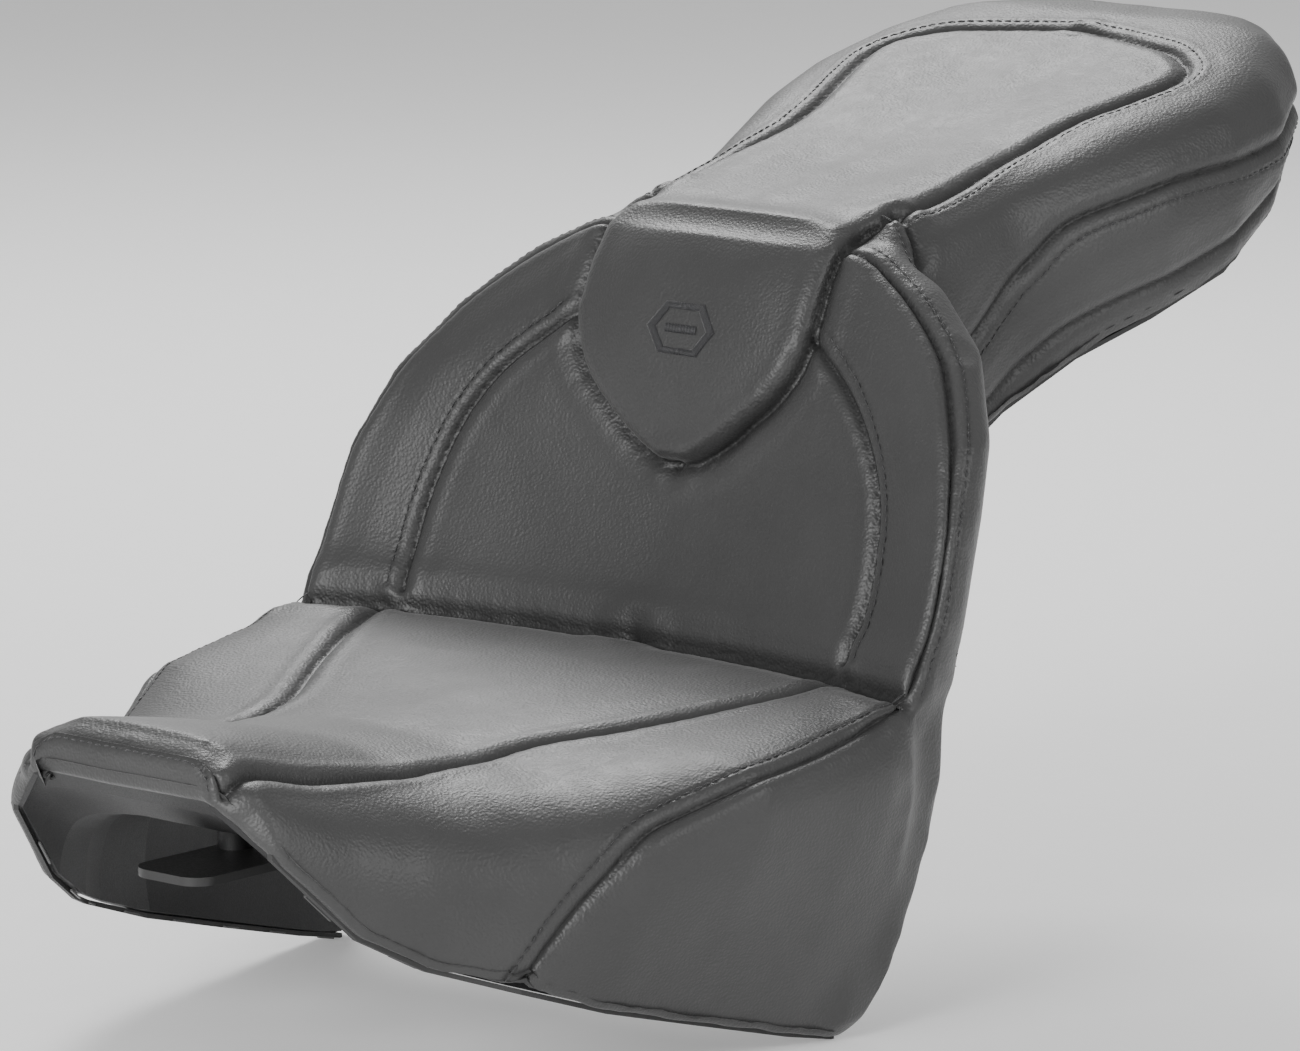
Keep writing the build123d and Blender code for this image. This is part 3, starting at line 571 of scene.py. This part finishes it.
# ---- materials ----
def material(name, colour, roughness, metallic=0.0, **shader):
    mat = bpy.data.materials.new(name)
    mat.use_nodes = True
    tree = mat.node_tree
    bsdf = tree.nodes["Principled BSDF"]
    bsdf.inputs["Base Color"].default_value = (*colour, 1)
    bsdf.inputs["Roughness"].default_value = roughness
    bsdf.inputs["Metallic"].default_value = metallic
    for key, value in shader.items():
        bsdf.inputs[key.replace("_", " ")].default_value = value
    return mat, tree, bsdf


def node(tree, kind, inputs=(), **settings):
    made = tree.nodes.new(kind)
    for key, value in settings.items():
        setattr(made, key, value)
    for key, value in dict(inputs).items():
        if hasattr(value, "is_output"):
            tree.links.new(value, made.inputs[key])
        else:
            made.inputs[key].default_value = value
    return made


def object_point(tree):
    return node(tree, "ShaderNodeTexCoord").outputs["Object"]


def varied(tree, point, colour, spread, scale):
    """Colour that drifts a little over the surface."""
    drift = node(tree, "ShaderNodeTexNoise", {"Vector": point, "Scale": scale, "Detail": 4.0})
    ramp = node(tree, "ShaderNodeValToRGB", {"Fac": drift.outputs["Fac"]})
    ramp.color_ramp.elements[0].position, ramp.color_ramp.elements[1].position = 0.32, 0.7
    ramp.color_ramp.elements[0].color = (*[c * (1 - spread) for c in colour], 1)
    ramp.color_ramp.elements[1].color = (*[c * (1 + spread) for c in colour], 1)
    return ramp.outputs["Color"]


def leather():
    colour = (0.035, 0.035, 0.035)
    mat, tree, bsdf = material("leather", colour, 0.5, Sheen_Weight=0.12, Sheen_Roughness=0.45)
    point = object_point(tree)
    drift = varied(tree, point, colour, 0.16, 9.0)
    # Painted shade: the colour is mixed towards near black where seams and stitch rows run.
    painted_shade = node(tree, "ShaderNodeAttribute", attribute_name="painted_shade").outputs["Fac"]
    painted_shading = node(tree, "ShaderNodeMix", {"Factor": painted_shade, "A": drift,
                                        "B": (0.006, 0.006, 0.006, 1)}, data_type="RGBA")
    tree.links.new(painted_shading.outputs["Result"], bsdf.inputs["Base Color"])

    grain = node(tree, "ShaderNodeTexVoronoi", {"Vector": point, "Scale": 720.0, "Randomness": 0.9},
                 feature="SMOOTH_F1")
    fine = node(tree, "ShaderNodeTexNoise", {"Vector": point, "Scale": 1500.0, "Detail": 2.0})
    creases = node(tree, "ShaderNodeTexNoise",
                   {"Vector": point, "Scale": 95.0, "Detail": 5.0, "Distortion": 0.6})
    pebble = node(tree, "ShaderNodeBump", {"Height": grain.outputs["Distance"],
                                           "Strength": 0.55, "Distance": 0.0005})
    small = node(tree, "ShaderNodeBump", {"Height": fine.outputs["Fac"], "Strength": 0.25,
                                          "Distance": 0.0002, "Normal": pebble.outputs["Normal"]})
    wrinkle = node(tree, "ShaderNodeBump", {"Height": creases.outputs["Fac"], "Strength": 0.10,
                                            "Distance": 0.0008, "Normal": small.outputs["Normal"]})
    tree.links.new(wrinkle.outputs["Normal"], bsdf.inputs["Normal"])
    gloss = node(tree, "ShaderNodeMapRange", {"Value": creases.outputs["Fac"], "From Min": 0.3,
                                              "From Max": 0.7, "To Min": 0.44, "To Max": 0.50})
    tree.links.new(gloss.outputs["Result"], bsdf.inputs["Roughness"])
    return mat


def grained(name, colour, roughness, scale, depth, metallic=0.0, spread=0.15, drift=30.0, **shader):
    """A surface with a fine grain and a slow drift of colour and gloss."""
    mat, tree, bsdf = material(name, colour, roughness, metallic, **shader)
    point = object_point(tree)
    tree.links.new(varied(tree, point, colour, spread, drift), bsdf.inputs["Base Color"])
    grain = node(tree, "ShaderNodeTexNoise", {"Vector": point, "Scale": scale, "Detail": 3.0})
    bump = node(tree, "ShaderNodeBump", {"Height": grain.outputs["Fac"], "Strength": 0.5,
                                         "Distance": depth})
    tree.links.new(bump.outputs["Normal"], bsdf.inputs["Normal"])
    gloss = node(tree, "ShaderNodeMapRange", {"Value": grain.outputs["Fac"], "From Min": 0.3,
                                              "From Max": 0.7, "To Min": roughness * 0.85,
                                              "To Max": min(roughness * 1.15, 1.0)})
    tree.links.new(gloss.outputs["Result"], bsdf.inputs["Roughness"])
    return mat


def thread_material(name, colour):
    mat, tree, bsdf = material(name, colour, 0.55, Sheen_Weight=0.3, Sheen_Roughness=0.4)
    point = object_point(tree)
    ply = node(tree, "ShaderNodeTexWave", {"Vector": point, "Scale": 700.0, "Distortion": 2.0})
    bump = node(tree, "ShaderNodeBump", {"Height": ply.outputs["Fac"], "Strength": 0.5,
                                         "Distance": 0.00012})
    tree.links.new(bump.outputs["Normal"], bsdf.inputs["Normal"])
    tree.links.new(varied(tree, point, colour, 0.3, 400.0), bsdf.inputs["Base Color"])
    return mat


# ---- thread ----
def thread_mesh(name, runs, radius, arch):
    """Short rounded lengths of thread: (start, end, outward normal) each."""
    rings, sides = THREAD_RINGS, THREAD_SIDES
    verts, faces = [], []
    for start, end, out in runs:
        along = end - start
        length = np.linalg.norm(along)
        if length < 1e-5:
            continue
        along = along / length
        out = out - along * out.dot(along)
        out /= max(np.linalg.norm(out), 1e-9)
        across = np.cross(along, out)
        base = len(verts)
        for k in range(rings + 1):
            u = k / rings
            inward = min(max(u, THREAD_END), 1 - THREAD_END)
            fat = radius * math.sin(math.pi * inward) ** THREAD_TAPER
            middle = start + (end - start) * u + out * arch * math.sin(math.pi * u)
            for j in range(sides):
                turn = 2 * math.pi * j / sides
                verts.append(middle + (across * math.cos(turn) + out * math.sin(turn)) * fat)
        for k in range(rings):
            for j in range(sides):
                a, b = base + k * sides + j, base + k * sides + (j + 1) % sides
                faces.append((a, b, b + sides, a + sides))
        faces.append([base + j for j in range(sides)][::-1])
        faces.append([base + rings * sides + j for j in range(sides)])
    mesh = bpy.data.meshes.new(name)
    mesh.from_pydata([tuple(v) for v in verts], [], faces)
    for poly in mesh.polygons:
        poly.use_smooth = True
    return mesh


def stitch_runs(row, tree):
    """Stitches along a row on the surface."""
    steps = np.linalg.norm(np.diff(row, axis=0), axis=1)
    run = np.concatenate([[0], np.cumsum(steps)])
    runs, s = [], STITCH_PITCH / 2
    while s + STITCH_LENGTH < run[-1]:
        ends = [np.array([np.interp(q, run, row[:, k]) for k in range(3)])
                for q in (s, s + STITCH_LENGTH)]
        middle = (ends[0] + ends[1]) / 2
        out = np.array(tree.find_nearest(Vector(middle))[1])
        ends = [np.array(tree.find_nearest(Vector(e))[0]) for e in ends]
        runs.append((ends[0], ends[1], out))
        s += STITCH_PITCH
    return runs


def badge_runs(tree):
    """Satin stitch of a six-sided ring round one bar, laid on the shield."""
    low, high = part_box("emblem")
    centre = (low + high) / 2
    half_w, half_h = (high.x - low.x) / 2, (high.z - low.z) / 2
    runs = []

    def down(a, b):
        start = Vector((centre.x + a * half_w, centre.y - 0.06, centre.z + b * half_h))
        place, out, _, _ = tree.ray_cast(start, Vector((0, 1, 0)))
        return np.array(place) + np.array(out) * BADGE_LIFT, np.array(out)

    for (a0, b0), (a1, b1) in zip(BADGE_RING, BADGE_RING[1:] + BADGE_RING[:1]):
        count = int(math.hypot((a1 - a0) * half_w, (b1 - b0) * half_h) / BADGE_PITCH)
        for i in range(count):
            u = i / count
            a, b = a0 + (a1 - a0) * u, b0 + (b1 - b0) * u
            outer, out = down(a, b)
            inner, _ = down(a * BADGE_INNER, b * BADGE_INNER)
            runs.append((outer, inner, out))
    for i in range(BAR_STITCHES):
        a = -BAR_HALF_WIDTH + 2 * BAR_HALF_WIDTH * i / (BAR_STITCHES - 1)
        top, out = down(a, BAR_HALF_HEIGHT)
        foot, _ = down(a, -BAR_HALF_HEIGHT)
        runs.append((top, foot, out))
    return runs


# ---- build ----
cover_mesh, painted_shade_values, stitch_rows = make_cover()
cover_tree = tree_of(cover_mesh)
black_leather = leather()
co, normals, _ = mesh_arrays(cover_mesh)
owner = np.zeros(len(cover_mesh.polygons), int)
cover_mesh.polygons.foreach_get("material_index", owner)
corner_lists = [tuple(p.vertices) for p in cover_mesh.polygons]
for k, (piece, cad_nodes) in enumerate(PIECES.items()):
    used, faces = renumbered([corner_lists[i] for i in np.where(owner == k)[0]])
    mesh = bpy.data.meshes.new(piece)
    mesh.from_pydata([tuple(co[i]) for i in used], [], faces)
    mesh.polygons.foreach_set("use_smooth", [True] * len(mesh.polygons))
    # The painted shade along seams and stitch rows is stored on each piece for the leather's
    # colour.
    painted_shade_layer = mesh.attributes.new("painted_shade", "FLOAT", "POINT")
    painted_shade_layer.data.foreach_set("value", painted_shade_values[used])
    mesh.materials.append(black_leather)
    mesh.update()
    mesh.normals_split_custom_set_from_vertices([tuple(normals[i]) for i in used])
    obj = new_object(piece, mesh)
    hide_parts(*cad_nodes)
    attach(obj, "seat")

dark_thread = thread_material("thread", (0.020, 0.020, 0.021))
for piece, names in (("stitching_rider", ("outer", "arch", "skirt", "nose")),
                     ("stitching_pillion", ("ring", "upper", "shoulder"))):
    runs = []
    for (name, side), row in stitch_rows.items():
        if name in names:
            runs += stitch_runs(row, cover_tree)
    mesh = thread_mesh(piece, runs, THREAD_R, STITCH_ARCH)
    mesh.materials.append(dark_thread)
    obj = new_object(piece, mesh)
    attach(obj, "seat")

mesh = thread_mesh("badge", badge_runs(cover_tree), BADGE_R, BADGE_ARCH)
mesh.materials.append(thread_material("badge_thread", (0.016, 0.016, 0.018)))
badge = new_object("badge", mesh)
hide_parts("emblem")
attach(badge, "seat")

FINISHES = (
    (("base_pan",), grained("pan_plastic", (0.009, 0.009, 0.0095), 0.55, 1400.0, 0.0002)),
    (("front_tongue", "rear_tab"),
     grained("bracket_paint", (0.02, 0.02, 0.02), 0.4, 900.0, 0.0001)),
    (("front_tongue_rivets", "rear_tab_rivets", "rear_screw"),
     grained("zinc", (0.5, 0.5, 0.5), 0.35, 1800.0, 0.00006, metallic=1.0)),
    (("cover_staples",),
     grained("staple_steel", (0.10, 0.10, 0.10), 0.45, 1800.0, 0.00006, metallic=0.9)),
    (("rubber_bumpers",), grained("rubber", (0.022, 0.022, 0.022), 0.8, 1100.0, 0.0002)),
    (("fender_pads",),
     grained("felt", (0.05, 0.05, 0.05), 0.95, 2200.0, 0.0006, Sheen_Weight=0.3)),
    (("edge_trim",), grained("trim", (0.025, 0.025, 0.025), 0.6, 1300.0, 0.0001)),
    (("retaining_washer",), grained("nylon", (0.66, 0.65, 0.60), 0.5, 700.0, 0.00005)),
)
for names, finish in FINISHES:
    for name in names:
        data = nodes[name].data
        data.materials.clear()
        data.materials.append(finish)

# ---- floor, light, camera ----
FLOOR = 6.0                            # half the floor's side
floor_z = min(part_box(n)[0].z for n in ("side_panel_left", "base_pan", "rubber_bumpers"))
floor_mesh = bpy.data.meshes.new("floor")
floor_mesh.from_pydata([(x, y, floor_z) for x, y in ((-FLOOR, -FLOOR), (FLOOR, -FLOOR),
                                                     (FLOOR, FLOOR), (-FLOOR, FLOOR))],
                       [], [(0, 1, 2, 3)])
floor = new_object("floor", floor_mesh)
floor_mesh.materials.append(grained("floor_paint", (0.88, 0.88, 0.88), 0.8, 300.0, 0.0001,
                                    spread=0.01, Emission_Color=(1, 1, 1, 1),
                                    Emission_Strength=0.22))

centre = (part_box("base_pan")[0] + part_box("base_pan")[1]) / 2


def soft_light(name, place, size, power):
    lamp = bpy.data.lights.new(name, "AREA")
    lamp.shape, lamp.size, lamp.energy = "DISK", size, power
    obj = new_object(name, lamp)
    obj.location = place
    obj.rotation_euler = (centre - Vector(place)).to_track_quat("-Z", "Y").to_euler()


# Name, place, width in metres, power in watts.
for light in (("key", (-1.5, 1.6, 2.1), 1.2, 58),
              ("front", (0.4, -2.6, 1.1), 1.5, 84),
              ("side", (2.6, 0.3, 1.5), 1.3, 26)):
    soft_light(*light)
world = bpy.data.worlds.new("studio")
world.use_nodes = True
world.node_tree.nodes["Background"].inputs["Color"].default_value = (0.95, 0.95, 0.95, 1)
world.node_tree.nodes["Background"].inputs["Strength"].default_value = 0.45
scene.world = world

AZIMUTH, ELEVATION = math.radians(41), math.radians(10.3)
TARGET, CAMERA_DISTANCE = Vector((0.0128, 0.278, 0.1187)), 3.741
SENSOR_WIDTH, FOCAL_LENGTH = 36.0, 221.5
right = Vector((math.cos(AZIMUTH), math.sin(AZIMUTH), 0))
back = Vector((math.sin(AZIMUTH) * math.cos(ELEVATION),
               -math.cos(AZIMUTH) * math.cos(ELEVATION), math.sin(ELEVATION)))
up = back.cross(right)
lens = bpy.data.cameras.new("camera")
lens.sensor_width, lens.lens = SENSOR_WIDTH, FOCAL_LENGTH
lens.clip_start, lens.clip_end = 0.1, 50
camera = bpy.data.objects.new("camera", lens)
camera.matrix_world = Matrix.Translation(TARGET + back * CAMERA_DISTANCE) @ Matrix(
    (right, up, back)).transposed().to_4x4()
scene.collection.objects.link(camera)
scene.camera = camera
